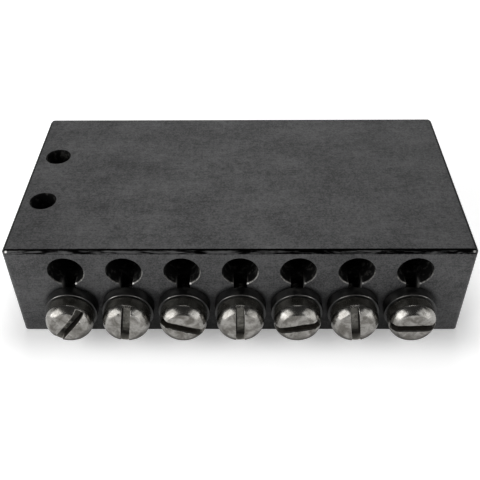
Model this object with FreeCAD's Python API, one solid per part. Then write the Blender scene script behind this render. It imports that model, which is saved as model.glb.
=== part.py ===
import FreeCAD, Part
import math
import os

# Lubricant divider block: a rectangular steel block whose blind gallery feeds a row of outlets.
# One slotted metering screw under each outlet sets how much oil passes up to it.
#
# Millimetres, +Z up. The origin is the centre of the block's base face.
# The outlets and the metering screws face -Y, and the supply inlet faces -X.

# Block
block_length = 111.7
block_depth = 57.8
block_height = 27.5
corner_radius = 1.1
front_bevel = 1.05
top_bevel = 0.6
base_bevel = 0.3
drill_point_angle = 118.0

# Row of stations, each an outlet above a metering screw; the row's middle is row_offset right of the block's
station_count = 7
station_pitch = 13.95
row_offset = 0.15

# Outlet bore, with the slot that joins its mouth to the screw bore below
outlet_drop = 6.55
outlet_diameter = 8.5
outlet_depth = 20.0
outlet_lip_chamfer = 0.2
notch_width = 3.3
notch_depth = 4.5

# Metering screw bore, from the front face to the seat
screw_rise = 9.4
screw_bore_depth = 19.0
seat_diameter = 3.0

# Upright passage that lifts the metered oil from the screw bore to the outlet
passage_diameter = 3.0
passage_setback = 2.5
plug_diameter = 5.0
plug_length = 3.0
plug_recess = 0.4

# Supply gallery along X, and its threaded inlet in the left end face
gallery_diameter = 6.0
gallery_end_margin = 8.0
inlet_minor_diameter = 8.9
inlet_depth = 10.0
inlet_lip_chamfer = 0.6

# Mounting holes, one each side of the inlet
mounting_diameter = 6.2
mounting_spacing = 19.5
mounting_inset = 5.85
mounting_lip_chamfer = 0.3

# Metering screw, measured outward from its head's seating face
thread_diameter = 6.0
thread_end_chamfer = 0.5
head_diameter = 11.6
head_length = 2.8
head_rear_chamfer = 0.25
shoulder_height = 2.3
shoulder_bulge = 0.2
head_face_diameter = 8.7
crown_height = 0.15
slot_width = 2.1
slot_depth = 3.0
slot_floor_length = 8.8
slot_runout_angle = 65.0
slot_angles = [57.0, 90.0, -16.0, 90.0, 12.0, 94.0, 2.0]

# Reduced shank and needle at the screw's inner end
pilot_diameter = 4.0
pilot_length = 2.6
needle_length = 3.2
needle_tip_diameter = 1.6

# Seal under each head, and the ring in its shank groove
seal_diameter = 12.75
seal_thickness = 2.7
seal_edge_bevel = 0.2
ring_section = 0.86
groove_width = 1.3
groove_setback = 8.0

# Clearances
thread_clearance = 0.05
seal_bore_clearance = 0.1
ring_clearance = 0.03
needle_seat_gap = 0.08

# How far each cutter stands past the face that it opens
overrun = 1.0

# Places worked out from the sizes above
front_y = -block_depth / 2
left_x = -block_length / 2
outlet_z = block_height - outlet_drop
screw_bore_diameter = thread_diameter + 2 * thread_clearance
groove_diameter = screw_bore_diameter - 2 * (ring_section + 2 * ring_clearance)
passage_y = front_y + screw_bore_depth - passage_setback
station_xs = [row_offset + (i - (station_count - 1) / 2) * station_pitch for i in range(station_count)]


def vec(x, y, z):
    return FreeCAD.Vector(x, y, z)


def profile_edge(start, end, bulge):
    """Straight edge between two (radius, height) points, or an arc standing off the chord by bulge."""
    a = vec(start[0], 0, start[1])
    b = vec(end[0], 0, end[1])
    if bulge == 0:
        return Part.makeLine(a, b)
    chord = b - a
    middle = (a + b) * 0.5 + vec(chord.z, 0, -chord.x).normalize() * bulge
    return Part.Arc(a, middle, b).toShape()


def turned(points, bulges=None):
    """Solid of revolution about Z from a closed loop of (radius, height) points."""
    bulges = bulges or {}
    loop = points + [points[0]]
    edges = [profile_edge(loop[i], loop[i + 1], bulges.get(i, 0)) for i in range(len(points))]
    face = Part.Face(Part.Wire(edges))
    return face.revolve(vec(0, 0, 0), vec(0, 0, 1), 360)


def facing_front(shape, x, z):
    """Lays a shape turned about Z over, so that its +Z points out of the front face at (x, z)."""
    laid = shape.copy()
    laid.rotate(vec(0, 0, 0), vec(1, 0, 0), 90)
    laid.translate(vec(x, front_y, z))
    return laid


def drilled_hole(diameter, depth, lip_chamfer):
    """Cutter for a blind hole that runs down from z = 0, with a drill point and a chamfered mouth."""
    radius = diameter / 2
    point = radius / math.tan(math.radians(drill_point_angle / 2))
    points = [(0, overrun), (0, -depth - point), (radius, -depth)]
    if lip_chamfer > 0:
        mouth = radius + lip_chamfer
        points += [(radius, -lip_chamfer), (mouth, 0), (mouth, overrun)]
    else:
        points += [(radius, overrun)]
    return turned(points)


def level_edges(shape, z):
    """Edges that lie in the level plane at z."""
    return [e for e in shape.Edges if abs(e.BoundBox.ZMin - z) < 1e-3 and abs(e.BoundBox.ZMax - z) < 1e-3]


def front_bevel_cutter():
    """Wedge along X that takes the wide bevel off the block's front top edge."""
    depth = front_bevel + overrun
    corners = [
        vec(left_x - overrun, front_y + front_bevel, block_height),
        vec(left_x - overrun, front_y - overrun, block_height - depth),
        vec(left_x - overrun, front_y - overrun, block_height + overrun),
        vec(left_x - overrun, front_y + front_bevel, block_height + overrun),
    ]
    outline = Part.makePolygon(corners + corners[:1])
    return Part.Face(outline).extrude(vec(block_length + 2 * overrun, 0, 0))


def block_blank():
    """Bar stock with rounded upright corners, bevelled rims and a wider bevel at the front top edge."""
    blank = Part.makeBox(block_length, block_depth, block_height, vec(left_x, front_y, 0))
    uprights = [e for e in blank.Edges if abs(e.Vertexes[0].Z - e.Vertexes[1].Z) > 1e-6]
    blank = blank.makeFillet(corner_radius, uprights)
    blank = blank.makeChamfer(top_bevel, level_edges(blank, block_height))
    blank = blank.makeChamfer(base_bevel, level_edges(blank, 0))
    return blank.cut(front_bevel_cutter())


def outlet_cutter(x):
    """Outlet bore with a bevelled lip."""
    return facing_front(drilled_hole(outlet_diameter, outlet_depth, outlet_lip_chamfer), x, outlet_z)


def notch_cutter(x):
    """Upright slot in the front face from the outlet's mouth down to the screw bore."""
    height = outlet_z - screw_rise
    slot = Part.makeBox(notch_width, notch_depth + overrun, height)
    slot.translate(vec(x - notch_width / 2, front_y - overrun, screw_rise))
    return slot


def screw_bore_cutter(x):
    """Tapped bore for the screw, and the smaller seat bore that opens into the gallery."""
    bore = facing_front(drilled_hole(screw_bore_diameter, screw_bore_depth, 0), x, screw_rise)
    seat_reach = block_depth / 2
    seat = Part.makeCylinder(seat_diameter / 2, seat_reach, vec(x, front_y, screw_rise), vec(0, 1, 0))
    return bore.fuse(seat)


def passage_cutter(x):
    """Passage drilled up from the base through the screw bore into the outlet, with a plug seat."""
    passage = Part.makeCylinder(passage_diameter / 2, outlet_z, vec(x, passage_y, 0))
    plug_seat = Part.makeCylinder(plug_diameter / 2, plug_length + plug_recess, vec(x, passage_y, 0))
    return passage.fuse(plug_seat)


def gallery_cutter():
    """Supply gallery, blind at the right end, with its tapped inlet in the left end face."""
    run = block_length - gallery_end_margin
    gallery = drilled_hole(gallery_diameter, run, 0)
    inlet = drilled_hole(inlet_minor_diameter, inlet_depth, inlet_lip_chamfer)
    cutter = gallery.fuse(inlet)
    cutter.rotate(vec(0, 0, 0), vec(0, 1, 0), -90)
    cutter.translate(vec(left_x, 0, screw_rise))
    return cutter


def mounting_cutter(y):
    """Clearance hole from top to base, bevelled at both mouths."""
    radius = mounting_diameter / 2
    wide = radius + mounting_lip_chamfer
    points = [
        (0, -overrun),
        (wide, -overrun),
        (wide, 0),
        (radius, mounting_lip_chamfer),
        (radius, block_height - mounting_lip_chamfer),
        (wide, block_height),
        (wide, block_height + overrun),
        (0, block_height + overrun),
    ]
    hole = turned(points)
    hole.translate(vec(left_x + mounting_inset, y, 0))
    return hole


def block_body():
    body = block_blank()
    cutters = [gallery_cutter()]
    cutters += [mounting_cutter(side * mounting_spacing / 2) for side in (-1, 1)]
    for x in station_xs:
        cutters += [outlet_cutter(x), notch_cutter(x), screw_bore_cutter(x), passage_cutter(x)]
    return body.cut(cutters).removeSplitter()


def screw_blank():
    """Turned screw: needle, pilot, grooved thread, round head with a domed shoulder and face."""
    thread_r = thread_diameter / 2
    pilot_r = pilot_diameter / 2
    tip_r = needle_tip_diameter / 2
    head_r = head_diameter / 2
    groove_r = groove_diameter / 2
    rim = head_length
    face = rim + shoulder_height

    # The needle's cone passes the seat's edge just inside the seat bore's radius
    seat_height = -seal_thickness - screw_bore_depth
    slope = (pilot_r - tip_r) / needle_length
    needle_base = seat_height + (pilot_r - (seat_diameter / 2 - needle_seat_gap)) / slope
    pilot_base = needle_base + pilot_length
    groove_far = -seal_thickness - groove_setback
    groove_near = groove_far + groove_width

    points = [
        (0, needle_base - needle_length),
        (tip_r, needle_base - needle_length),
        (pilot_r, needle_base),
        (pilot_r, pilot_base),
        (thread_r - thread_end_chamfer, pilot_base),
        (thread_r, pilot_base + thread_end_chamfer),
        (thread_r, groove_far),
        (groove_r, groove_far),
        (groove_r, groove_near),
        (thread_r, groove_near),
        (thread_r, 0),
        (head_r - head_rear_chamfer, 0),
        (head_r, head_rear_chamfer),
        (head_r, rim),
        (head_face_diameter / 2, face),
        (0, face + crown_height),
    ]
    shoulder = len(points) - 3
    crown_arc = crown_height / 4
    return turned(points, {shoulder: shoulder_bulge, shoulder + 1: crown_arc})


def driver_slot():
    """Cutter along X for the driver slot: a flat floor that runs out steeply at both ends."""
    crown = head_length + shoulder_height + crown_height
    floor = crown - slot_depth
    top = crown + overrun
    floor_reach = slot_floor_length / 2
    top_reach = floor_reach + (top - floor) / math.tan(math.radians(slot_runout_angle))
    corners = [(-top_reach, top), (-floor_reach, floor), (floor_reach, floor), (top_reach, top)]
    outline = Part.makePolygon([vec(x, -slot_width / 2, z) for x, z in corners + corners[:1]])
    return Part.Face(outline).extrude(vec(0, slot_width, 0))


def metering_screw(x, slot_angle):
    """Screw with its driver slot at slot_angle, 0 across and positive anticlockwise, seen from the front."""
    slot = driver_slot()
    slot.rotate(vec(0, 0, 0), vec(0, 0, 1), slot_angle)
    screw = screw_blank().cut(slot)
    screw.translate(vec(0, 0, seal_thickness))
    return facing_front(screw, x, screw_rise)


def head_seal(x):
    """Flat sealing ring with bevelled rims, between the block's front face and the screw's head."""
    outer = seal_diameter / 2
    inner = thread_diameter / 2 + seal_bore_clearance
    edge = seal_edge_bevel
    points = [
        (inner, 0),
        (outer - edge, 0),
        (outer, edge),
        (outer, seal_thickness - edge),
        (outer - edge, seal_thickness),
        (inner, seal_thickness),
    ]
    return facing_front(turned(points), x, screw_rise)


def shank_ring(x):
    """Round-section sealing ring in the screw's groove."""
    centre_r = groove_diameter / 2 + ring_clearance + ring_section / 2
    middle = -groove_setback + groove_width / 2
    ring = Part.makeTorus(centre_r, ring_section / 2, vec(0, 0, middle))
    return facing_front(ring, x, screw_rise)


def passage_plug(x):
    """Pressed-in plug that closes the passage's drilled mouth, bevelled at its outer end."""
    radius = plug_diameter / 2
    bevel = plug_recess / 2
    points = [
        (0, plug_recess),
        (radius - bevel, plug_recess),
        (radius, plug_recess + bevel),
        (radius, plug_recess + plug_length),
        (0, plug_recess + plug_length),
    ]
    plug = turned(points)
    plug.translate(vec(x, passage_y, 0))
    return plug


def export(name, shape):
    shape.exportStep("parts/" + name + ".step")


os.makedirs("parts", exist_ok=True)
export("block_body", block_body())
for number, x in enumerate(station_xs, start=1):
    slot_angle = slot_angles[(number - 1) % len(slot_angles)]
    export("metering_screw_%d" % number, metering_screw(x, slot_angle))
    export("head_seal_%d" % number, head_seal(x))
    export("shank_ring_%d" % number, shank_ring(x))
    export("passage_plug_%d" % number, passage_plug(x))
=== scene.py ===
import math

import bmesh
import bpy
import numpy as np
from mathutils import Matrix, Vector


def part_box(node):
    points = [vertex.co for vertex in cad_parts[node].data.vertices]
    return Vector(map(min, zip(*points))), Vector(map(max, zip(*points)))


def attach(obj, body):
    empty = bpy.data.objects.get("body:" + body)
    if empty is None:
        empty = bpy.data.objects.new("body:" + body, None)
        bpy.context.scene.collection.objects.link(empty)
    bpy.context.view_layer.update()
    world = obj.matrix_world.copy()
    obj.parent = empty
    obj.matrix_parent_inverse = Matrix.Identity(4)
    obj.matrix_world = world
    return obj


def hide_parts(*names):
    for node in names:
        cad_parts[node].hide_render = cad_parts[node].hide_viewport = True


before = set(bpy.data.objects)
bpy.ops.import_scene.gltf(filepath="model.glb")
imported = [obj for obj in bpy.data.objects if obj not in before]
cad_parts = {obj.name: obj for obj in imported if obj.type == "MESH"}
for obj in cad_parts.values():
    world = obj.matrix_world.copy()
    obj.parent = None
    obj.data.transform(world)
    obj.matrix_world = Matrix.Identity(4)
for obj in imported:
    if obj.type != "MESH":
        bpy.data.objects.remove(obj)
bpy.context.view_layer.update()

# Lubricant divider block: a blackened steel block with seven outlets and seven slotted metering screws.
# The block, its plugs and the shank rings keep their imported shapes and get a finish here.
# The screws and the seals under their heads are made again with slots, burrs, threads and rounded rims.
# All lengths are in millimetres, until MM turns them into Blender's metres.

MM = 0.001
STATIONS = range(1, 8)
MERGE_DISTANCE = 1e-4

# Head of a metering screw, measured outward from its seating face
RIM_HEIGHT = 2.8
SHOULDER_HEIGHT = 2.3
SHOULDER_BULGE = 0.26
FACE_RADIUS = 4.35
CROWN_HEIGHT = 0.15
REAR_CHAMFER = 0.25
SIDE_HOLLOW = 0.012
SIDE_LOBES = 6
LOWER_EDGE_RADIUS = FACE_RADIUS - 0.75
LOWER_EDGE_FADE = 0.5
AXIS_RADIUS = 0.05

# Slot of a head. Where it is shallower than SLOT_SHALLOW, its rounded edges shrink with it
SLOT_WIDTH = 2.1
SLOT_DEPTH = 3.0
SLOT_FLOOR_REACH = 4.75
SLOT_RUNOUT_SLOPE = 2.14
SLOT_RUNOUT_ROUND = 0.12
SLOT_LIP = 0.11
SLOT_FOOT = 0.14
SLOT_DRAFT = 0.05
SLOT_MARGIN = 0.12
SLOT_SHALLOW = 0.6
BURR_OFFSET = 0.16
BURR_WIDTH = 0.14
BURR_HEIGHT = 0.05
BURR_LENGTH = 1.6

# The slot's end corners, where the floor's mark is lowered so that it takes the walls' darker colour, and
# how far the painted light on the run-out takes to set in
END_CORNER_PLACE = 0.02
END_CORNER_WIDTH = 0.26
END_CORNER_SHARE = 0.12
RUNOUT_FADE = 0.3

# One value a station, from left to right: the slot's turn in degrees, its shift along itself, and how
# far the crease round the face is rounded
SLOT_ANGLES = [53.0, 82.0, -18.0, 90.0, 12.0, 97.5, 1.5]
SLOT_SHIFTS = [0.3, 0.3, -0.25, 0.3, -0.15, 0.3, -0.1]
FACE_BLEND = [0.5, 0.5, 0.14, 0.45, 0.1, 0.4, 0.16]

# Dents beside the slot and anywhere on the head: how many, then ranges of place, size and depth
SLOT_DENTS = 7
SLOT_DENT_ASIDE = (0, 0.5)
SLOT_DENT_ALONG = (-4.5, 4.5)
SLOT_DENT_SIZE = (0.2, 0.45)
SLOT_DENT_DEPTH = (0.05, 0.14)
HEAD_DENTS = 9
HEAD_DENT_REACH = (1.5, 5.2)
HEAD_DENT_SIZE = (0.18, 0.5)
HEAD_DENT_DEPTH = (0.015, 0.06)

# Unevenness of the head's front and the slot's floor, as wave length and height
FACE_WAVES = (5.0, 0.035)
FACE_RIPPLE = (1.5, 0.006)
FLOOR_RIPPLE = (1.2, 0.02)
RIM_FADE = 0.5

# How finely the head is divided
OUTER_STEPS = 36
LIP_STEPS = 5
WALL_STEPS = 7
FOOT_STEPS = 4
FLOOR_STEPS = 4
CHORD_STEPS = 109
SIDE_STEPS = 10

# Shank
THREAD_RADIUS = 3.0
THREAD_PITCH = 1.0
THREAD_HEIGHT = 0.58
THREAD_STEPS = 8
THREAD_END_CHAMFER = 0.5
THREAD_END_MARGIN = 0.12
THREAD_FLANK_SLOPE = 1.15
THREAD_CREST_FLAT = 0.08
GROOVE_RADIUS = 2.13
GROOVE_START = 9.4
GROOVE_END = 10.7
THREAD_END = 17.553
PILOT_RADIUS = 2.0
PILOT_END = 20.153
NEEDLE_TIP_RADIUS = 0.8

# Seal under the head
SEAL_BORE_RADIUS = 3.1
SEAL_RIM_ROUND = 0.17
SEAL_BORE_ROUND = 0.15
SEAL_OUTER_PLAY = 0.02
SEAL_WAVES = (0.9, 0.02)
SEAL_STEPS = 160
SEAL_CORNER_STEPS = 9
SEAL_TOP_SPREAD = 40
SEAL_SHOULDER_TURN = 30
SEAL_SHOULDER_SPREAD = 17

# Block
FRONT_BEVEL = 1.05
TOP_BEVEL = 0.6
BASE_BEVEL = 0.3
CORNER_RADIUS = 1.1
LIP_CHAMFER = 0.2
STATION_PITCH = 13.95
STATIONS_EACH_SIDE = 3
ROW_OFFSET = 0.15
OUTLET_RISE = 20.95
SCREW_RISE = 9.4
OUTLET_RADIUS = 4.25
NOTCH_HALF_WIDTH = 1.65

# Where the block's finish changes, each as the start and end of a smooth step
LAST_THREE_X = (6.0, 8.0)
# Painted shade round the seals and between the screws: its radius, its height and its reach past the row
PAINTED_SHADE_RADIUS = (6.2, 7.7)
PAINTED_SHADE_HEIGHT = (9.5, 14.5)
PAINTED_SHADE_PAST_ROW = (0.0, 5.0)
DARK_LINE = (0.13, 0.27)
BLACK_LINE = (0.64, 0.78)
BASE_RIM_HEIGHT = (5.0, 6.0)
NOTCH_DEPTH = (0.5, 3.5)
NOTCH_TOP = (16.8, 17.3)
LIP_SPOT_RADIUS = (0.14, 0.4)
NICK_RADIUS = (0.16, 0.4)
NICK_INSET = 1.0
NICK_MIDDLE = 0.45

# Colours of the block
BLOCK_DARK = (0.018, 0.018, 0.019)
BLOCK_LIGHT = (0.085, 0.085, 0.086)
BLOCK_SPECK = (0.13, 0.13, 0.13)
# Painted shade round the seals and between the screws
PAINTED_SHADE_BLACK = (0.006, 0.006, 0.006)
RIM_DARK = (0.02, 0.02, 0.02)
# Painted dark reflection on the front bevel
BEVEL_PAINTED_REFLECTION = (0.0018, 0.0018, 0.0018)
BEVEL_GREY = (0.085, 0.085, 0.085)
# Painted shade inside the bores
BORE_PAINTED_SHADE = (0.003, 0.003, 0.003)
BORE_SMEAR = (0.03, 0.029, 0.027)
NOTCH_DUST = (0.2, 0.195, 0.185)
# Worn metal with painted highlights on the lips and corners
BARE_EDGE_AND_HIGHLIGHT = (0.42, 0.41, 0.39)
BARE_SPOT_AND_HIGHLIGHT = (0.8, 0.79, 0.77)

# Colours of the screws
FACE_STAINED = (0.125, 0.118, 0.107)
FACE_CLEAN = (0.285, 0.277, 0.262)
SHOULDER_STAINED = (0.185, 0.178, 0.165)
SHOULDER_CLEAN = (0.3, 0.293, 0.278)
BROWN_FILM = (0.085, 0.078, 0.066)
# The head's side, painted dark as a dark reflection
SIDE_DARK = (0.05, 0.048, 0.04)
SIDE_LIGHT = (0.15, 0.145, 0.128)
WORN_STEEL = (0.48, 0.47, 0.44)
GRIME_DARK = (0.010, 0.008, 0.006)
GRIME_LIGHT = (0.036, 0.029, 0.022)
# Painted shade along the head's lower edge
LOWER_EDGE_SHADE = (0.05, 0.046, 0.04)
# Painted light on the slot's run-outs
RUNOUT_PAINTED_LIGHT = (0.42, 0.4, 0.36)

# Colours of the seals, rings and plugs
SEAL_DARK = (0.002, 0.002, 0.002)
SEAL_LIGHT = (0.012, 0.0115, 0.0105)
# Worn rim of the seal with a painted highlight
SEAL_WORN_HIGHLIGHT = (0.42, 0.41, 0.39)
RING_DARK = (0.010, 0.010, 0.010)
RING_LIGHT = (0.022, 0.022, 0.021)
PLUG_DULL = (0.16, 0.155, 0.15)
PLUG_CLEAN = (0.36, 0.35, 0.33)

# Studio: how much brighter than lit the floor looks, close to the block and away from it, then the white
# bowl, the grey above its wall, and the lamps as name, place, size and power in watts
FLOOR_WHITE = (0.85, 0.85, 0.85)
FLOOR_GLOW_NEAR = 0.28
FLOOR_GLOW_FAR = 0.58
FLOOR_GLOW_REACH = 14.0
SHADE_HALF_LENGTH = 55.0
SHADE_HALF_DEPTH = 28.0
BOWL_FLAT_RADIUS = 650
BOWL_BEND_RADIUS = 150
BOWL_WALL_HEIGHT = 330
BOWL_STEPS = 96
AIR_LEVEL = 0.05
SOFTBOX_AIM = (0, 0, 15)
SOFTBOXES = [
    ("softbox_left", (-440, -240, 235), 500, 2.5),
    ("softbox_right", (440, -240, 235), 500, 1.0),
    ("softbox_rear", (0, 330, 470), 360, 1.15),
]

# Camera, from the block's corners, ports and holes in the photograph, with its angles in degrees
CAMERA_PLACE = (1.708, -148.323, 137.424)
CAMERA_HEADING = 0.731
CAMERA_TILT = 48.334
CAMERA_ROLL = -0.558
SENSOR_WIDTH = 36.0
CAMERA_LENS = 52.284
CAMERA_NEAR = 10


def waviness(points, length, height, seed):
    """Gentle unevenness: twelve sine waves of about that length in seeded directions, their sum divided
    by the root of twelve."""
    rng = np.random.default_rng(seed)
    count = 12
    directions = rng.normal(size=(count, points.shape[-1]))
    directions /= np.linalg.norm(directions, axis=1, keepdims=True)
    lengths = length * rng.uniform(0.7, 1.6, count)
    phases = rng.uniform(0, 2 * math.pi, count)
    waves = np.sin(2 * math.pi * points @ (directions / lengths[:, None]).T + phases)
    return height * waves.sum(-1) / math.sqrt(count)


def grid_faces(rows, columns, start=0, wrap=False):
    """Corner numbers of a grid's quads, row by row. With wrap, the last column joins the first."""
    row = np.arange(rows - 1)[:, None]
    column = np.arange(columns if wrap else columns - 1)[None, :]
    here = start + row * columns + column
    beside = start + row * columns + (column + 1) % columns
    return np.stack([here, beside, beside + columns, here + columns], -1).reshape(-1, 4)


def make_piece(name, points, faces, marks, finish, sharp_degrees=28.0):
    """Mesh object from points and quads, with one value per point for each mark."""
    mesh = bpy.data.meshes.new(name)
    mesh.from_pydata((points * MM).tolist(), [], faces.tolist())
    for mark, values in marks.items():
        kind = "FLOAT" if values.ndim == 1 else "FLOAT_VECTOR"
        field = "value" if values.ndim == 1 else "vector"
        mesh.attributes.new(mark, kind, "POINT").data.foreach_set(field, values.astype(np.float32).ravel())
    work = bmesh.new()
    work.from_mesh(mesh)
    bmesh.ops.remove_doubles(work, verts=work.verts, dist=MERGE_DISTANCE * MM)
    bmesh.ops.recalc_face_normals(work, faces=work.faces)
    work.to_mesh(mesh)
    work.free()
    mesh.polygons.foreach_set("use_smooth", np.ones(len(mesh.polygons), bool))
    mesh.set_sharp_from_angle(angle=math.radians(sharp_degrees))
    mesh.materials.append(finish)
    piece = bpy.data.objects.new(name, mesh)
    bpy.context.scene.collection.objects.link(piece)
    return piece


def front_frame(node):
    """Axis place and outer radius of a turned piece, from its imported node's box."""
    low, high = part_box(node)
    centre_x = (low.x + high.x) / 2 / MM
    centre_z = (low.z + high.z) / 2 / MM
    return centre_x, centre_z, (high.x - low.x) / 2 / MM


def facing_front(local, centre_x, centre_z, seat_y):
    """Turns (right, up, out) places about a station's axis into the part's frame."""
    right, up, out = local[..., 0], local[..., 1], local[..., 2]
    return np.stack([centre_x + right, seat_y - out, centre_z + up], -1)


def spin(points, degrees):
    """Turns (right, up, out) places about the out axis."""
    angle = math.radians(degrees)
    spun = points.copy()
    spun[:, 0] = points[:, 0] * math.cos(angle) - points[:, 1] * math.sin(angle)
    spun[:, 1] = points[:, 0] * math.sin(angle) + points[:, 1] * math.cos(angle)
    return spun


def dome_height(radius, rim_radius, blend):
    """Height of a screw head's front at a radius: a shallow crown inside the face's edge, outside it
    an arc down to the rim, and a smooth minimum that rounds the crease between them."""
    face = RIM_HEIGHT + SHOULDER_HEIGHT
    run = rim_radius - FACE_RADIUS
    chord = math.hypot(run, SHOULDER_HEIGHT)
    arc_radius = chord * chord / (8 * SHOULDER_BULGE) + SHOULDER_BULGE / 2
    back = (arc_radius - SHOULDER_BULGE) / chord
    arc_r = (FACE_RADIUS + rim_radius) / 2 - SHOULDER_HEIGHT * back
    arc_z = (RIM_HEIGHT + face) / 2 - run * back
    outside = np.maximum(radius, arc_r)
    shoulder = arc_z + np.sqrt(np.maximum(arc_radius**2 - (outside - arc_r) ** 2, 0))
    shoulder += np.maximum(arc_r - radius, 0)
    crown = face + CROWN_HEIGHT * (1 - (radius / FACE_RADIUS) ** 2)
    near = np.maximum(blend - np.abs(crown - shoulder), 0) / blend
    return np.minimum(crown, shoulder) - near * near * blend / 4


def slot_section(rim_radius):
    """Stations across a head from one side to the other, through the slot: place across, share of the
    slot's floor in the height, fixed step in height, and depth into the slot. The depth is 0 outside,
    up to 0.3 over the lip, 0.4 to 0.9 down the wall, 0.95 at its foot and 1 on the floor."""
    half = SLOT_WIDTH / 2
    edge = math.asin((half + SLOT_LIP + SLOT_MARGIN) / rim_radius)
    outer = rim_radius * np.sin(np.linspace(math.pi / 2, edge, OUTER_STEPS))
    lip = np.radians(np.linspace(0, 90, LIP_STEPS))
    wall = np.linspace(0, 1, WALL_STEPS)[1:-1]
    foot = np.radians(np.linspace(0, 90, FOOT_STEPS))
    flat = np.linspace(half - SLOT_DRAFT - SLOT_FOOT, 0, FLOOR_STEPS)[1:]
    place = [outer, half + SLOT_LIP * (1 - np.sin(lip)), half - SLOT_DRAFT * wall,
             half - SLOT_DRAFT - SLOT_FOOT * (1 - np.cos(foot)), flat]
    share = [0 * outer, 0 * lip, wall, 0 * foot + 1, 0 * flat + 1]
    step = [0 * outer, -SLOT_LIP * (1 - np.cos(lip)), SLOT_FOOT * wall - SLOT_LIP * (1 - wall),
            SLOT_FOOT * (1 - np.sin(foot)), 0 * flat]
    depth = [0 * outer, 0.3 * np.sin(lip), 0.4 + 0.5 * wall, 0 * foot + 0.95, 0 * flat + 1]
    halves = [np.concatenate(values) for values in (place, share, step, depth)]
    mirrored = [np.concatenate([values[:-1], values[::-1]]) for values in halves]
    middle = len(halves[0]) - 1
    mirrored[0][middle + 1:] *= -1
    return mirrored


def slot_damage(across, along, seed):
    """Burrs along the slot's edges, dents beside it and shallower ones anywhere on the head: a seeded
    ridge and round hollows, each falling off as e to the minus distance squared."""
    rng = np.random.default_rng(seed)
    edge = np.abs(np.abs(across) - SLOT_WIDTH / 2 - BURR_OFFSET)
    ridge = waviness(np.stack([along, np.sign(across)], -1), BURR_LENGTH, 1.0, seed)
    height = BURR_HEIGHT * np.exp(-((edge / BURR_WIDTH) ** 2)) * np.clip(ridge, 0, 1.5)
    for _ in range(SLOT_DENTS):
        side = rng.choice([-1, 1])
        dent_across = side * (SLOT_WIDTH / 2 + rng.uniform(*SLOT_DENT_ASIDE))
        dent_along = rng.uniform(*SLOT_DENT_ALONG)
        size = rng.uniform(*SLOT_DENT_SIZE)
        away = ((across - dent_across) ** 2 + (along - dent_along) ** 2) / size**2
        height = height - rng.uniform(*SLOT_DENT_DEPTH) * np.exp(-away)
    for _ in range(HEAD_DENTS):
        turn = rng.uniform(0, 2 * math.pi)
        reach = rng.uniform(*HEAD_DENT_REACH)
        size = rng.uniform(*HEAD_DENT_SIZE)
        away = ((across - reach * math.cos(turn)) ** 2 + (along - reach * math.sin(turn)) ** 2) / size**2
        height = height - rng.uniform(*HEAD_DENT_DEPTH) * np.exp(-away)
    return height


def head_front(rim_radius, blend, slot_shift, seed):
    """Grid over the head's front. Rows run along the slot's stations and columns along chords of the
    rim's circle. The height is the dome's with damage on top, or the slot's floor, which is flat and
    runs out steeply near both ends. The marks are the place in the slot, a little less in its end corners,
    and where the floor runs out."""
    place, share, step, depth = slot_section(rim_radius)
    reach = np.sin(np.radians(np.linspace(-90, 90, CHORD_STEPS)))
    across = np.repeat(place[:, None], len(reach), 1)
    along = np.sqrt(np.maximum(rim_radius**2 - across**2, 0)) * reach[None, :]
    radius = np.minimum(np.hypot(across, along), rim_radius)
    flat = np.stack([across, along], -1)
    rim_fade = np.clip((rim_radius - radius) / RIM_FADE, 0, 1)
    top = dome_height(radius, rim_radius, blend)
    top = top + rim_fade * (waviness(flat, *FACE_WAVES, seed) + waviness(flat, *FACE_RIPPLE, seed + 50))
    top = top + rim_fade * slot_damage(across, along, seed + 100)
    floor = RIM_HEIGHT + SHOULDER_HEIGHT + CROWN_HEIGHT - SLOT_DEPTH
    floor = floor + waviness(flat, *FLOOR_RIPPLE, seed + 150)
    beyond = np.abs(along - slot_shift) - SLOT_FLOOR_REACH
    floor = floor + SLOT_RUNOUT_SLOPE * (beyond + np.hypot(beyond, SLOT_RUNOUT_ROUND)) / 2
    opened = np.maximum(top - floor, 0)
    local = np.clip(opened / SLOT_SHALLOW, 0, 1)
    height = top - share[:, None] * opened + step[:, None] * local
    on_floor = depth[:, None] > 0.96
    low_in_slot = depth[:, None] > 0.5
    near_corner = np.exp(-(((beyond - END_CORNER_PLACE) / END_CORNER_WIDTH) ** 2))
    # Where the floor meets its run-outs the mark is lowered, which gives the floor the walls' darker colour
    # there
    corner_darkening = END_CORNER_SHARE * on_floor * near_corner
    runout = np.clip(beyond / RUNOUT_FADE, 0, 1) * low_in_slot
    return np.stack([across, along, height], -1), depth[:, None] * local - corner_darkening, runout


def shank_profile(rim_radius, tip_height):
    """Heights and radii of the rings from the head's rear edge to the needle's tip, and where the
    thread is cut. A corner is a height, a radius, and whether the thread runs up to it. A threaded
    stretch is divided evenly."""
    corners = [
        (0, rim_radius - REAR_CHAMFER, False),
        (0, THREAD_RADIUS, False),
        (-GROOVE_START, THREAD_RADIUS, True),
        (-GROOVE_START, GROOVE_RADIUS, False),
        (-GROOVE_END, GROOVE_RADIUS, False),
        (-GROOVE_END, THREAD_RADIUS, False),
        (-THREAD_END + THREAD_END_CHAMFER, THREAD_RADIUS, True),
        (-THREAD_END, THREAD_RADIUS - THREAD_END_CHAMFER, False),
        (-THREAD_END, PILOT_RADIUS, False),
        (-PILOT_END, PILOT_RADIUS, False),
        (tip_height, NEEDLE_TIP_RADIUS, False),
        (tip_height, 0, False),
    ]
    heights, radii, cuts = [], [], []
    for (height_a, radius_a, _), (height_b, radius_b, cut) in zip(corners, corners[1:]):
        count = round(abs(height_b - height_a) * THREAD_STEPS / THREAD_PITCH) if cut else 1
        share = np.arange(count) / count
        heights.append(height_a + share * (height_b - height_a))
        radii.append(radius_a + share * (radius_b - radius_a))
        cuts.append(np.sin(math.pi * share) > THREAD_END_MARGIN if cut else share > 1)
    heights.append([corners[-1][0]])
    radii.append([corners[-1][1]])
    cuts.append([False])
    return np.concatenate(heights), np.concatenate(radii), np.concatenate(cuts)


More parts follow.
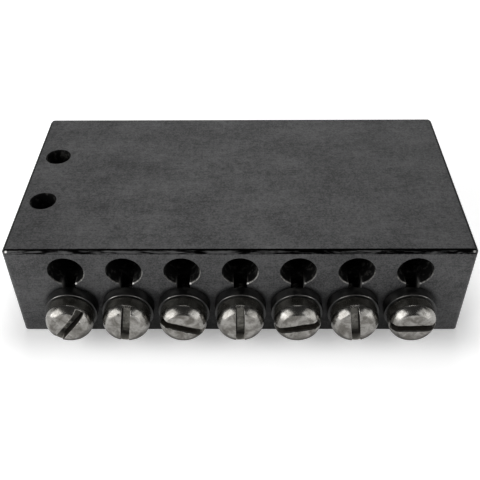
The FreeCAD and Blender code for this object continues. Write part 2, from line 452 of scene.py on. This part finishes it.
def screw_rings(number, outline, rim_radius, tip_height):
    """Rings of a screw behind its head's outline: down the side, which is hollowed a little between six
    lobes, across the rear face and along the shank to the needle's tip. The thread is a helix, a triangle
    wave of height less turn over pitch."""
    turn = np.arctan2(outline[:, 1], outline[:, 0])
    drop = np.linspace(0, 1, SIDE_STEPS)[1:, None]
    side_height = outline[:, 2] * (1 - drop) + REAR_CHAMFER * drop
    lobes = 1 - np.cos(SIDE_LOBES * turn + number)
    side_radius = rim_radius - SIDE_HOLLOW * lobes * np.sin(math.pi * drop)
    heights, radii, cuts = shank_profile(rim_radius, tip_height)
    phase = (heights[:, None] / THREAD_PITCH - turn[None, :] / (2 * math.pi)) % 1
    tooth = np.clip(THREAD_FLANK_SLOPE * np.abs(2 * phase - 1) - THREAD_CREST_FLAT, 0, 1)
    shank_radius = radii[:, None] - THREAD_HEIGHT * tooth * cuts[:, None]
    ring_radius = np.concatenate([side_radius, shank_radius])
    ring_height = np.concatenate([side_height, np.repeat(heights[:, None], len(turn), 1)])
    return np.stack([ring_radius * np.cos(turn), ring_radius * np.sin(turn), ring_height], -1)


def screw_marks(spun, rim_radius, slot_depth, runout):
    """Values on a screw's points that its finish reads: the place in the slot, its run-outs, strongest
    low on the head, the direction of turning, the radius, the height out from the seat, and the head's
    lower edge."""
    right, up, out = spun.T
    radius = np.hypot(right, up)
    turning = np.stack([-up, np.zeros(len(spun)), right], -1) / np.maximum(radius, AXIS_RADIUS)[:, None]
    turning[radius < AXIS_RADIUS] = (1, 0, 0)
    near_rim = np.clip((radius - LOWER_EDGE_RADIUS) / LOWER_EDGE_FADE, 0, 1)
    below = np.clip(-3 * up / rim_radius - 0.2, 0, 1)
    return {"slot_depth": slot_depth, "slot_end": runout * np.clip(-up / 4, 0.1, 1), "turning": turning,
            "turned_radius": radius, "out_from_seat": out, "lower_edge": near_rim * below}


def make_screw(number, finish):
    """One metering screw: a dome less a slot in front, then rings from its outline to the needle's tip
    with a helical thread, all turned to the station's slot angle."""
    node = f"metering_screw_{number}"
    centre_x, centre_z, rim_radius = front_frame(node)
    seat_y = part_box(f"head_seal_{number}")[0].y / MM
    tip_height = seat_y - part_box(node)[1].y / MM
    station = number - 1
    front, depth, runout = head_front(rim_radius, FACE_BLEND[station], SLOT_SHIFTS[station], seed=number)
    outline = np.concatenate([front[:, -1], front[-2:0:-1, 0]])
    outline_depth = np.concatenate([depth[:, -1], depth[-2:0:-1, 0]])
    rings = screw_rings(number, outline, rim_radius, tip_height)

    rows, columns = front.shape[:2]
    ring_points = np.concatenate([outline[None], rings])
    local = np.concatenate([front.reshape(-1, 3), ring_points.reshape(-1, 3)])
    faces = np.concatenate([
        grid_faces(rows, columns),
        grid_faces(len(ring_points), len(outline), rows * columns, wrap=True),
    ])
    slot_depth = np.concatenate([depth.ravel(), outline_depth, np.zeros(rings[..., 0].size)])
    runout = np.concatenate([runout.ravel(), np.zeros(ring_points[..., 0].size)])
    spun = spin(local, SLOT_ANGLES[station] - 90)
    marks = screw_marks(spun, rim_radius, slot_depth, runout)
    points = facing_front(spun, centre_x, centre_z, seat_y)
    piece = make_piece(f"slotted_screw_{number}", points, faces, marks, finish)
    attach(piece, f"screw_{number}")
    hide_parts(node)
    return piece


def seal_section(outer, thickness):
    """Closed outline of the seal's section, as radius and height out from the block's face: straight
    sides with quarter circles at the four corners. The mark is 1 on the outer front edge, which is worn
    and carries a painted highlight."""
    rim, bore = SEAL_RIM_ROUND, SEAL_BORE_ROUND
    corners = [
        (outer - rim, rim, rim, -90, 0),
        (outer - rim, thickness - rim, rim, 0, 90),
        (SEAL_BORE_RADIUS + bore, thickness - bore, bore, 90, 180),
        (SEAL_BORE_RADIUS + bore, bore, bore, 180, 270),
    ]
    radii, heights, worn = [], [], []
    for index, (centre_r, centre_h, size, first, last) in enumerate(corners):
        turn = np.radians(np.linspace(first, last, SEAL_CORNER_STEPS))
        radii.append(centre_r + size * np.cos(turn))
        heights.append(centre_h + size * np.sin(turn))
        worn.append(np.sin(2 * turn) if index == 1 else 0 * turn)
    return np.concatenate(radii), np.concatenate(heights), np.concatenate(worn)


def make_seal(number, finish):
    """One head seal: the section turned about the station's axis, with a slightly uneven outer wall. Its
    front rim is worn and carries a painted highlight on top, most of all 30 degrees to either side of it."""
    node = f"head_seal_{number}"
    centre_x, centre_z, outer = front_frame(node)
    low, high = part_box(node)
    thickness = (high.y - low.y) / MM
    radii, heights, worn = seal_section(outer - SEAL_OUTER_PLAY, thickness)
    turn = np.linspace(0, 2 * math.pi, SEAL_STEPS, endpoint=False)
    circle = np.stack([np.cos(turn), np.sin(turn)], -1)
    outward = np.clip((radii - SEAL_BORE_RADIUS) / (outer - SEAL_BORE_RADIUS), 0, 1)
    uneven = np.minimum(waviness(circle, *SEAL_WAVES, seed=number + 300), SEAL_OUTER_PLAY)
    radius = radii[:, None] + outward[:, None] * uneven[None, :]
    height = np.repeat(heights[:, None], len(turn), 1)
    local = np.stack([radius * circle[:, 0], radius * circle[:, 1], height], -1)
    closed = np.concatenate([local, local[:1]])
    from_top = np.degrees(turn) - 90
    on_top = np.exp(-((from_top / SEAL_TOP_SPREAD) ** 2))
    beside_top = np.exp(-(((np.abs(from_top) - SEAL_SHOULDER_TURN) / SEAL_SHOULDER_SPREAD) ** 2))
    wear_and_highlight = np.clip(0.5 * on_top + 0.5 * beside_top, 0, 1)
    marks = {"rim_wear_and_highlight": (np.append(worn, worn[0])[:, None] * wear_and_highlight[None, :]).ravel()}
    points = facing_front(closed.reshape(-1, 3), centre_x, centre_z, high.y / MM)
    faces = grid_faces(len(closed), len(turn), wrap=True)
    piece = make_piece(f"head_ring_{number}", points, faces, marks, finish)
    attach(piece, f"seals_{number}")
    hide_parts(node)
    return piece


class Finish:
    """A procedural material: a Principled shader and the few kinds of node that feed it."""

    def __init__(self, name, roughness=0.5, metallic=0.0, specular=0.5, anisotropy=0.0):
        self.material = bpy.data.materials.new(name)
        self.material.use_nodes = True
        self.nodes = self.material.node_tree.nodes
        self.links = self.material.node_tree.links
        self.nodes.clear()
        self.shader = self.nodes.new("ShaderNodeBsdfPrincipled")
        output = self.nodes.new("ShaderNodeOutputMaterial")
        self.links.new(self.shader.outputs["BSDF"], output.inputs["Surface"])
        for socket, value in {"Roughness": roughness, "Metallic": metallic,
                              "Specular IOR Level": specular, "Anisotropic": anisotropy}.items():
            self.shader.inputs[socket].default_value = value

    def feed(self, socket, value):
        """Gives a socket a value: another node's output, a number or a colour."""
        if isinstance(value, bpy.types.NodeSocket):
            self.links.new(value, socket)
        elif isinstance(value, tuple) and len(socket.default_value) == 4:
            socket.default_value = (*value, 1.0)
        else:
            socket.default_value = value

    def set(self, name, value):
        """Feeds one of the shader's own sockets."""
        self.feed(self.shader.inputs[name], value)

    def math(self, operation, *values):
        """One math node."""
        node = self.nodes.new("ShaderNodeMath")
        node.operation = operation
        for socket, value in zip(node.inputs, values):
            self.feed(socket, value)
        return node.outputs[0]

    def chain(self, operation, values):
        """One operation from value to value, left to right."""
        result = values[0]
        for value in values[1:]:
            result = self.math(operation, result, value)
        return result

    def times(self, *values):
        """Product of the values."""
        return self.chain("MULTIPLY", values)

    def plus(self, *values):
        """Sum of the values."""
        return self.chain("ADD", values)

    def minus(self, *values):
        """The first value less the others."""
        return self.chain("SUBTRACT", values)

    def most(self, *values):
        """Greatest of the values."""
        return self.chain("MAXIMUM", values)

    def least(self, *values):
        """Smallest of the values."""
        return self.chain("MINIMUM", values)

    def length(self, *values):
        """Square root of the sum of the squares."""
        return self.math("SQRT", self.plus(*[self.times(value, value) for value in values]))

    def place(self):
        """Object coordinates in millimetres."""
        coordinates = self.nodes.new("ShaderNodeTexCoord").outputs["Object"]
        scale = self.nodes.new("ShaderNodeVectorMath")
        scale.operation = "SCALE"
        self.links.new(coordinates, scale.inputs[0])
        scale.inputs["Scale"].default_value = 1 / MM
        return scale.outputs[0]

    def stretch(self, place, factors):
        """Place times a factor on each axis. Below 1 it draws a pattern out along that axis."""
        node = self.nodes.new("ShaderNodeVectorMath")
        node.operation = "MULTIPLY"
        self.links.new(place, node.inputs[0])
        node.inputs[1].default_value = factors
        return node.outputs[0]

    def split(self, vector):
        """X, Y and Z of a vector."""
        node = self.nodes.new("ShaderNodeSeparateXYZ")
        self.links.new(vector, node.inputs[0])
        return node.outputs

    def noise(self, place, size, detail=3.0, roughness=0.55, distortion=0.0):
        """Noise whose features are about size millimetres across."""
        node = self.nodes.new("ShaderNodeTexNoise")
        self.links.new(place, node.inputs["Vector"])
        for socket, value in {"Scale": 1 / size, "Detail": detail, "Roughness": roughness,
                              "Distortion": distortion}.items():
            node.inputs[socket].default_value = value
        return node.outputs["Fac"]

    def ring_noise(self, radius, rings_per_mm, detail=3.0):
        """Noise of the radius alone, as a turning tool leaves it."""
        node = self.nodes.new("ShaderNodeTexNoise")
        node.noise_dimensions = "1D"
        self.links.new(radius, node.inputs["W"])
        node.inputs["Scale"].default_value = rings_per_mm
        node.inputs["Detail"].default_value = detail
        return node.outputs["Fac"]

    def mark(self, name, kind="Fac"):
        """A value that the piece's points carry."""
        node = self.nodes.new("ShaderNodeAttribute")
        node.attribute_name = name
        return node.outputs[kind]

    def ramp(self, value, low, high, start=0.0, end=1.0):
        """Smooth step of a value between low and high, from start to end."""
        node = self.nodes.new("ShaderNodeMapRange")
        node.interpolation_type = "SMOOTHSTEP"
        for socket, given in zip(node.inputs, (value, low, high, start, end)):
            self.feed(socket, given)
        return node.outputs[0]

    def fade(self, value, low, high):
        """Smooth step of a value between low and high, from 1 to 0."""
        return self.ramp(value, low, high, 1.0, 0.0)

    def blend(self, share, first, second):
        """Colour between two, by share."""
        node = self.nodes.new("ShaderNodeMix")
        node.data_type = "RGBA"
        self.feed(node.inputs["Factor"], share)
        self.feed(node.inputs[6], first)
        self.feed(node.inputs[7], second)
        return node.outputs[2]

    def level(self, share, first, second):
        """Number between two, by share."""
        node = self.nodes.new("ShaderNodeMix")
        node.data_type = "FLOAT"
        self.feed(node.inputs["Factor"], share)
        self.feed(node.inputs[2], first)
        self.feed(node.inputs[3], second)
        return node.outputs[0]

    def bump(self, height, strength, distance):
        """Bump of a height, with distance in millimetres."""
        node = self.nodes.new("ShaderNodeBump")
        node.inputs["Strength"].default_value = strength
        node.inputs["Distance"].default_value = distance * MM
        self.links.new(height, node.inputs["Height"])
        self.links.new(node.outputs["Normal"], self.shader.inputs["Normal"])


def skin_distances(f, place, low, high):
    """Distances in from the block's upright walls, whose corners are round, from its top or base, and
    from its front."""
    x, y, z = f.split(place)
    along = f.minus((high.x - low.x) / 2 / MM - CORNER_RADIUS, f.math("ABSOLUTE", x))
    deep = f.minus((high.y - low.y) / 2 / MM - CORNER_RADIUS, f.math("ABSOLUTE", y))
    past = f.length(f.least(along, 0.0), f.least(deep, 0.0))
    inner = f.most(f.least(along, deep), 0.0)
    wall = f.plus(f.minus(CORNER_RADIUS, past), inner)
    tall = f.least(z, f.minus(high.z / MM, z))
    front = f.minus(y, low.y / MM)
    return wall, tall, front


def from_station(f, place, rise):
    """How far a place lies right of the nearest station's middle and above a height, and how far it lies
    from that point."""
    x, _, z = f.split(place)
    nearest = f.math("ROUND", f.math("DIVIDE", f.minus(x, ROW_OFFSET), STATION_PITCH))
    nearest = f.most(f.least(nearest, STATIONS_EACH_SIDE), -STATIONS_EACH_SIDE)
    across = f.minus(x, f.math("MULTIPLY_ADD", nearest, STATION_PITCH, ROW_OFFSET))
    up = f.minus(z, rise)
    return across, up, f.length(across, up)


def lip_wear_and_highlight(f, place, front):
    """Where the outlets' lips are worn and carry painted highlights: low on each lip, and at the notch's
    upper right corner. The first four stations carry more to the right, and the last three more evenly."""
    across, up, reach = from_station(f, place, OUTLET_RISE)
    last_three = f.ramp(f.split(place)[0], *LAST_THREE_X)
    lip_radius = OUTLET_RADIUS + LIP_CHAMFER
    on_lip = f.times(f.fade(front, LIP_CHAMFER - 0.02, LIP_CHAMFER + 0.05),
                     f.fade(reach, lip_radius - 0.02, lip_radius + 0.06))
    low = f.times(up, -0.25)
    right = f.ramp(f.plus(f.times(across, 0.2), low), 0.55, 1.1, 0.02, 1.0)
    left = f.ramp(f.plus(f.times(across, -0.2), low), 1.05, 1.35, 0.0, 0.5)
    right = f.times(right, f.level(last_three, 1.0, 0.6))
    left = f.times(left, f.level(last_three, 1.0, 1.8))
    patchy = f.ramp(f.noise(place, size=0.8, detail=3.0), 0.4, 0.6, 0.35, 1.0)
    band = f.times(on_lip, f.most(right, left), patchy)
    corner_drop = math.sqrt(OUTLET_RADIUS**2 - NOTCH_HALF_WIDTH**2)
    from_corner = f.length(f.minus(across, NOTCH_HALF_WIDTH + 0.15), f.plus(up, corner_drop + 0.05), front)
    spot_and_highlight = f.times(f.fade(from_corner, *LIP_SPOT_RADIUS), f.level(last_three, 1.0, 0.3))
    return band, spot_and_highlight


def seal_painted_shade(f, place, front):
    """Painted shade on the front: round each head seal it fades with the distance from the nearest
    screw's axis, and between two screws it fades upwards from the base."""
    x, _, z = f.split(place)
    reach = from_station(f, place, SCREW_RISE)[2]
    ring = f.ramp(reach, *PAINTED_SHADE_RADIUS, 0.9, 0.0)
    past_row = f.minus(f.math("ABSOLUTE", f.minus(x, ROW_OFFSET)), STATIONS_EACH_SIDE * STATION_PITCH)
    between = f.times(f.fade(past_row, *PAINTED_SHADE_PAST_ROW), f.ramp(z, *PAINTED_SHADE_HEIGHT, 0.85, 0.0))
    return f.times(f.most(ring, between), f.fade(front, 0.0, 0.1))


def bevel_grey(f, place, front, ragged):
    """How grey the wide front bevel is from front to top: a thin dark line, a streaky grey band and a
    ragged black line. Where it is not grey the bevel is painted black, as a dark reflection."""
    back = f.plus(front, f.times(ragged, 0.8))
    streak = f.noise(f.stretch(place, (0.1, 1.0, 1.0)), size=0.4, detail=4.0, roughness=0.65)
    patch = f.noise(f.stretch(place, (0.5, 1.0, 1.0)), size=3.0, detail=2.0)
    grey = f.ramp(f.plus(f.times(patch, 0.7), streak), 0.76, 1.0)
    return f.times(grey, f.ramp(back, *DARK_LINE), f.fade(back, *BLACK_LINE))


def corner_wear_and_highlight(f, x, front, top_down, half_length):
    """A worn patch with a painted highlight on each end of the front bevel, by the distance from its middle;
    the right one is dull.
    """
    past = f.minus(f.math("ABSOLUTE", x), half_length - NICK_INSET)
    from_middle = f.length(past, f.minus(front, NICK_MIDDLE), f.minus(top_down, NICK_MIDDLE))
    spot_and_highlight = f.fade(from_middle, *NICK_RADIUS)
    return f.times(spot_and_highlight, f.ramp(x, -1.0, 1.0, 0.9, 0.45))


def blackened_block_finish():
    """Blackened steel: a fine matt grain on the flats, painted shade round the seals and between the
    screws, dark matt rims, a smooth front bevel painted black as a dark reflection, with grey streaks,
    worn metal with painted highlights on the outlets' lips and the front corners, and near black painted
    shade inside the bores. Where it is black its metallic share is high, because a near-black metal
    mirrors next to nothing and so stays black."""
    f = Finish("blackened_block", specular=0.35)
    place = f.place()
    low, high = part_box("block_body")
    wall, tall, front = skin_distances(f, place, low, high)
    nearer = f.least(wall, tall)
    further = f.most(wall, tall)
    x, _, z = f.split(place)
    top_down = f.minus(high.z / MM, z)

    grain = f.noise(place, size=0.42, detail=4.0, roughness=0.7)
    mottle = f.noise(place, size=1.5, detail=3.0)
    cloud = f.noise(f.stretch(place, (1.0, 1.6, 1.6)), size=14.0, detail=2.0)
    scratch = f.noise(f.stretch(place, (0.06, 1.0, 1.0)), size=0.3, detail=2.0)
    tone = f.plus(grain, f.times(mottle, 0.33), f.times(scratch, 0.25), f.times(cloud, 0.4))
    speck = f.ramp(f.noise(place, size=0.45, detail=1.0), 0.70, 0.76)
    # Painted shade round each seal and between the screws, darker towards the base
    painted_shade = f.times(seal_painted_shade(f, place, front), f.ramp(mottle, 0.3, 0.7, 0.7, 1.0))
    flats = f.blend(f.ramp(tone, 0.74, 1.24), BLOCK_DARK, BLOCK_LIGHT)
    flats = f.blend(f.times(speck, 0.45), flats, BLOCK_SPECK)
    flats = f.blend(painted_shade, flats, PAINTED_SHADE_BLACK)

    ragged = f.times(f.minus(f.noise(place, size=1.2, detail=4.0, roughness=0.7), 0.5), 0.3)
    front_line = f.plus(f.most(f.minus(front, 0.15), top_down), ragged)
    at_front = f.fade(front_line, FRONT_BEVEL - 0.2, FRONT_BEVEL - 0.08)
    rim_width = f.level(f.ramp(z, *BASE_RIM_HEIGHT), BASE_BEVEL, TOP_BEVEL + 0.16)
    at_side = f.fade(f.plus(f.minus(further, rim_width), ragged), -0.04, 0.05)
    inside = f.times(f.ramp(nearer, 0.02, 0.05), f.ramp(further, FRONT_BEVEL + 0.1, FRONT_BEVEL + 0.25))

    grey = bevel_grey(f, place, front, ragged)
    in_notch = f.times(f.fade(front, *NOTCH_DEPTH), f.fade(z, *NOTCH_TOP))
    smear = f.ramp(mottle, 0.5, 0.68)
    # Inside the bores the near black is painted shade, with lighter smears and dust in the notch
    bore_tone = f.blend(smear, BORE_PAINTED_SHADE, BORE_SMEAR)
    bore_tone = f.blend(f.times(in_notch, mottle), bore_tone, NOTCH_DUST)
    # Worn metal on the lips, the notch corners and the bevel's ends, laid out as painted highlights
    lip, spot_and_highlight = lip_wear_and_highlight(f, place, front)
    nick_and_highlight = f.most(spot_and_highlight, corner_wear_and_highlight(f, x, front, top_down, high.x / MM))
    bare_and_highlight = f.most(f.times(lip, 0.9), nick_and_highlight)

    colour = f.blend(at_side, flats, RIM_DARK)
    # The bevel's black is a painted dark reflection
    colour = f.blend(at_front, colour, f.blend(grey, BEVEL_PAINTED_REFLECTION, BEVEL_GREY))
    colour = f.blend(inside, colour, bore_tone)
    colour = f.blend(bare_and_highlight, colour, BARE_EDGE_AND_HIGHLIGHT)
    f.set("Base Color", f.blend(nick_and_highlight, colour, BARE_SPOT_AND_HIGHLIGHT))

    gloss_free = f.most(f.times(at_side, 0.7), f.times(painted_shade, 0.9))
    gloss_free = f.level(at_front, gloss_free, f.minus(1.0, grey))
    matt_share = f.most(in_notch, f.plus(f.times(smear, 0.4), 0.3))
    gloss_free = f.level(inside, gloss_free, f.minus(1.0, matt_share))
    f.set("Metallic", f.level(bare_and_highlight, gloss_free, 0.9))

    rough = f.level(at_side, f.ramp(tone, 0.69, 1.29, 0.62, 0.48), 0.9)
    rough = f.level(at_front, rough, 0.3)
    f.set("Roughness", f.level(inside, rough, 0.95))
    f.bump(f.plus(grain, f.times(scratch, 0.3)), strength=0.35, distance=0.05)
    return f.material


def screw_steel_finish():
    """Turned steel with a dull grey-brown film: stains, fine turning marks, a thin bright line worn along
    the rim and the slot's lips, dark brown grime on the slot's walls, the head's side painted dark as a
    dark reflection, pale painted light where the slot runs out, and painted shade along the lower edge."""
    f = Finish("screw_steel", metallic=1.0, anisotropy=0.35)
    place = f.place()
    radius = f.mark("turned_radius")
    slot = f.mark("slot_depth")
    out = f.mark("out_from_seat")
    film = f.noise(place, size=2.6, detail=4.0, roughness=0.6, distortion=0.6)
    fine = f.noise(place, size=0.5, detail=4.0, roughness=0.65)
    rings = f.ring_noise(radius, rings_per_mm=3.6)

    clean = f.ramp(film, 0.36, 0.64)
    face_steel = f.blend(clean, FACE_STAINED, FACE_CLEAN)
    shoulder_steel = f.blend(clean, SHOULDER_STAINED, SHOULDER_CLEAN)
    shoulder = f.times(f.ramp(radius, FACE_RADIUS - 0.1, FACE_RADIUS + 0.2),
                       f.ramp(out, RIM_HEIGHT - 0.02, RIM_HEIGHT + 0.1))
    steel = f.blend(shoulder, face_steel, shoulder_steel)
    steel = f.blend(f.times(f.ramp(fine, 0.48, 0.78), 0.55), steel, BROWN_FILM)
    on_head = f.ramp(out, 0.0, 0.05)
    side = f.times(f.fade(out, RIM_HEIGHT - 0.12, RIM_HEIGHT - 0.02), on_head)
    # Painted dark reflection: the head's side darker than its steel
    side_shade = f.blend(f.ramp(film, 0.3, 0.7), SIDE_DARK, SIDE_LIGHT)
    steel = f.blend(f.times(side, 0.85), steel, side_shade)

    rim = f.fade(f.math("ABSOLUTE", f.minus(out, RIM_HEIGHT)), 0.03, 0.11)
    slot_lip = f.times(f.ramp(slot, 0.02, 0.12), f.fade(slot, 0.2, 0.3))
    worn = f.times(f.most(f.times(rim, 0.5), slot_lip), f.ramp(fine, 0.42, 0.6, 0.0, 0.8))
    steel = f.blend(worn, steel, WORN_STEEL)

    grime = f.times(f.ramp(slot, 0.25, 0.5), f.ramp(slot, 0.93, 0.98, 1.0, 0.12))
    grime_tone = f.blend(f.ramp(fine, 0.4, 0.7), GRIME_DARK, GRIME_LIGHT)
    # Painted light on the slot's run-out, strongest low on the head
    runout = f.times(f.mark("slot_end"), f.ramp(fine, 0.3, 0.6, 0.6, 1.0))
    # Painted shade along the head's lower edge
    lower_edge_shade = f.times(f.mark("lower_edge"), on_head)
    colour = f.blend(grime, steel, grime_tone)
    colour = f.blend(f.times(lower_edge_shade, 0.9), colour, LOWER_EDGE_SHADE)
    f.set("Base Color", f.blend(runout, colour, RUNOUT_PAINTED_LIGHT))

    matt_share = f.most(f.times(grime, 0.8), f.times(runout, 0.9), f.times(side, 0.2), f.times(lower_edge_shade, 0.75))
    f.set("Metallic", f.minus(1.0, matt_share))
    rough = f.plus(f.ramp(film, 0.3, 0.7, 0.22, 0.14), f.times(fine, 0.1))
    f.set("Roughness", f.level(f.most(grime, runout, lower_edge_shade), rough, 0.65))
    turning = f.nodes.new("ShaderNodeVectorTransform")
    turning.vector_type = "VECTOR"
    turning.convert_from = "OBJECT"
    turning.convert_to = "WORLD"
    f.links.new(f.mark("turning", "Vector"), turning.inputs[0])
    f.links.new(turning.outputs[0], f.shader.inputs["Tangent"])
    f.bump(f.plus(f.times(rings, 1.1), fine), strength=0.3, distance=0.04)
    return f.material


def seal_finish():
    """Satin black seal with a thin line worn bright along its front rim, with a painted highlight laid on
    it.
    """
    f = Finish("seal_black", specular=0.5)
    place = f.place()
    fine = f.noise(place, size=0.6, detail=3.0)
    dull = f.noise(place, size=2.2, detail=2.0)
    black = f.blend(f.ramp(dull, 0.4, 0.7), SEAL_DARK, SEAL_LIGHT)
    # Worn rim with a painted highlight, strongest on top and to either side of it
    wear_and_highlight = f.times(f.ramp(f.mark("rim_wear_and_highlight"), 0.35, 0.9), f.ramp(fine, 0.32, 0.55, 0.45, 1.0))
    f.set("Base Color", f.blend(wear_and_highlight, black, SEAL_WORN_HIGHLIGHT))
    f.set("Metallic", f.times(wear_and_highlight, 0.9))
    f.set("Roughness", f.ramp(dull, 0.3, 0.7, 0.3, 0.55))
    f.bump(fine, strength=0.15, distance=0.03)
    return f.material


def ring_rubber_finish():
    """Black rubber with a faint moulded grain."""
    f = Finish("ring_rubber", specular=0.4)
    fine = f.noise(f.place(), size=0.25, detail=3.0)
    f.set("Base Color", f.blend(fine, RING_DARK, RING_LIGHT))
    f.set("Roughness", f.ramp(fine, 0.3, 0.7, 0.42, 0.6))
    f.bump(fine, strength=0.2, distance=0.02)
    return f.material


def plug_steel_finish():
    """Plain turned steel with a thin dull film, for the pressed-in plugs in the base."""
    f = Finish("plug_steel", metallic=1.0)
    place = f.place()
    film = f.noise(place, size=1.6, detail=4.0)
    fine = f.noise(place, size=0.2, detail=3.0)
    f.set("Base Color", f.blend(film, PLUG_DULL, PLUG_CLEAN))
    f.set("Roughness", f.ramp(film, 0.3, 0.7, 0.5, 0.32))
    f.bump(fine, strength=0.25, distance=0.03)
    return f.material


def dress(name, finish):
    """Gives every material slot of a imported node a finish."""
    for material_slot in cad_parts[name].material_slots:
        material_slot.material = finish


def studio_white():
    """Matt white floor that a camera, glossy or transmitted ray sees brighter than it is lit, least of all
    close to the block, so that it reads as white and keeps the block's shadow."""
    f = Finish("studio_white", roughness=1.0, specular=0.0)
    f.set("Base Color", FLOOR_WHITE)
    x, y, _ = f.split(f.place())
    beside = f.most(f.minus(f.math("ABSOLUTE", x), SHADE_HALF_LENGTH), 0.0)
    before = f.most(f.minus(f.math("ABSOLUTE", y), SHADE_HALF_DEPTH), 0.0)
    glow = f.ramp(f.length(beside, before), 0.0, FLOOR_GLOW_REACH, FLOOR_GLOW_NEAR, FLOOR_GLOW_FAR)
    rays = f.nodes.new("ShaderNodeLightPath").outputs
    seen = f.most(rays["Is Camera Ray"], rays["Is Glossy Ray"], rays["Is Transmission Ray"])
    f.set("Emission Color", (1.0, 1.0, 1.0))
    f.set("Emission Strength", f.times(seen, glow))
    return f.material


def make_backdrop():
    """White bowl: a flat floor that turns up into a low round wall, a profile turned about Z."""
    bend = np.radians(np.linspace(10, 90, 9))
    flat = np.linspace(0, BOWL_FLAT_RADIUS, 14)
    wall_radius = BOWL_FLAT_RADIUS + BOWL_BEND_RADIUS
    radii = np.concatenate([flat, BOWL_FLAT_RADIUS + BOWL_BEND_RADIUS * np.sin(bend), [wall_radius]])
    heights = np.concatenate([0 * flat, BOWL_BEND_RADIUS * (1 - np.cos(bend)), [BOWL_WALL_HEIGHT]])
    turn = np.linspace(0, 2 * math.pi, BOWL_STEPS, endpoint=False)
    points = np.stack([radii[:, None] * np.cos(turn), radii[:, None] * np.sin(turn),
                       np.repeat(heights[:, None], len(turn), 1)], -1)
    faces = grid_faces(len(radii), len(turn), wrap=True)
    mesh = bpy.data.meshes.new("studio_floor")
    mesh.from_pydata((points.reshape(-1, 3) * MM).tolist(), [], faces.tolist())
    mesh.polygons.foreach_set("use_smooth", np.ones(len(mesh.polygons), bool))
    mesh.materials.append(studio_white())
    floor = bpy.data.objects.new("studio_floor", mesh)
    bpy.context.scene.collection.objects.link(floor)


def add_softbox(name, place, size, power):
    """Square area light, turned towards the block."""
    light = bpy.data.lights.new(name, "AREA")
    light.shape = "SQUARE"
    light.size = size * MM
    light.energy = power
    lamp = bpy.data.objects.new(name, light)
    toward = Vector(SOFTBOX_AIM) - Vector(place)
    lamp.rotation_euler = toward.to_track_quat("-Z", "Y").to_euler()
    lamp.location = [value * MM for value in place]
    bpy.context.scene.collection.objects.link(lamp)


def light_world(level):
    """Plain dim grey surroundings above the bowl's wall."""
    world = bpy.data.worlds.new("studio_air")
    world.use_nodes = True
    world.node_tree.nodes["Background"].inputs["Color"].default_value = (1, 1, 1, 1)
    world.node_tree.nodes["Background"].inputs["Strength"].default_value = level
    bpy.context.scene.world = world


def add_camera():
    """Camera at the photograph's viewing angle."""
    lens = bpy.data.cameras.new("camera")
    lens.sensor_width = SENSOR_WIDTH
    lens.lens = CAMERA_LENS
    lens.clip_start = CAMERA_NEAR * MM
    camera = bpy.data.objects.new("camera", lens)
    heading = Matrix.Rotation(math.radians(CAMERA_HEADING), 4, "Z")
    tilt = Matrix.Rotation(math.radians(CAMERA_TILT), 4, "X")
    roll = Matrix.Rotation(math.radians(CAMERA_ROLL), 4, "Z")
    place = Matrix.Translation([value * MM for value in CAMERA_PLACE])
    camera.matrix_world = place @ heading @ tilt @ roll
    bpy.context.scene.collection.objects.link(camera)
    bpy.context.scene.camera = camera


screw_finish = screw_steel_finish()
seal_black = seal_finish()
rubber = ring_rubber_finish()
plug_finish = plug_steel_finish()
dress("block_body", blackened_block_finish())
for station in STATIONS:
    dress(f"passage_plug_{station}", plug_finish)
    dress(f"shank_ring_{station}", rubber)
    make_screw(station, screw_finish)
    make_seal(station, seal_black)

make_backdrop()
light_world(AIR_LEVEL)
for softbox in SOFTBOXES:
    add_softbox(*softbox)
add_camera()
bpy.context.scene.view_settings.view_transform = "Standard"
